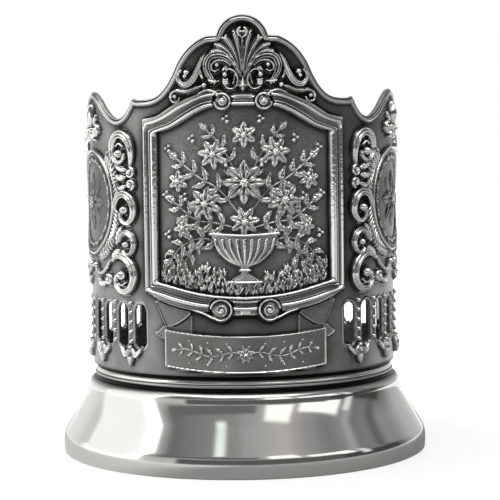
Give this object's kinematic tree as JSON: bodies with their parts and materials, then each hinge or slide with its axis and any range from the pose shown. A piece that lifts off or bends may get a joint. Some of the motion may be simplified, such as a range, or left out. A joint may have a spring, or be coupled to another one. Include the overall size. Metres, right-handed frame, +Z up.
{
  "type": "podstakannik tea glass holder",
  "caption": "Metal holder for a thin tea glass: a pierced band with a high crest, a framed front panel and scrollwork, on a flared foot, with a handle and thumb rest behind.",
  "frame": {"origin": "centre of the foot's open rim, on the plane that the foot stands on", "axes": "+Z up along the glass bore, -Y towards the crest and front panel, +Y towards the handle, +X to the right as seen from the front"},
  "size_m": [0.0842, 0.1038, 0.0967],
  "materials": {
    "patinated_band": "nickel-plated brass with a dark patina",
    "worn_relief": "patinated nickel, polished bright on its high places",
    "satin_nickel": "satin nickel plate",
    "polished_foot": "polished nickel plate"
  },
  "bodies": {
    "root": {"sleeve_band": "patinated_band", "rim_bead": "worn_relief", "seam_ring": "worn_relief", "foot_shell": "polished_foot", "glass_floor": "satin_nickel", "seam_strip": "satin_nickel", "handle_upper_lug": "satin_nickel", "handle_lower_lug": "satin_nickel", "handle_bow": "satin_nickel", "thumb_rest": "satin_nickel", "front_frame": "worn_relief", "picture_plaque": "patinated_band", "crest_ornament": "worn_relief", "ribbon_banner": "worn_relief", "ribbon_spray": "worn_relief", "medallion_right": "worn_relief", "medallion_left": "worn_relief", "medallion_back_right": "worn_relief", "medallion_back_left": "worn_relief", "side_scrolls_right": "worn_relief", "side_scrolls_left": "worn_relief", "back_scrolls_right": "worn_relief", "back_scrolls_left": "worn_relief", "horn_finials": "worn_relief", "bar_beads_right": "worn_relief", "bar_beads_left": "worn_relief", "swags_right": "worn_relief", "swags_left": "worn_relief"}
  },
  "joints": []
}
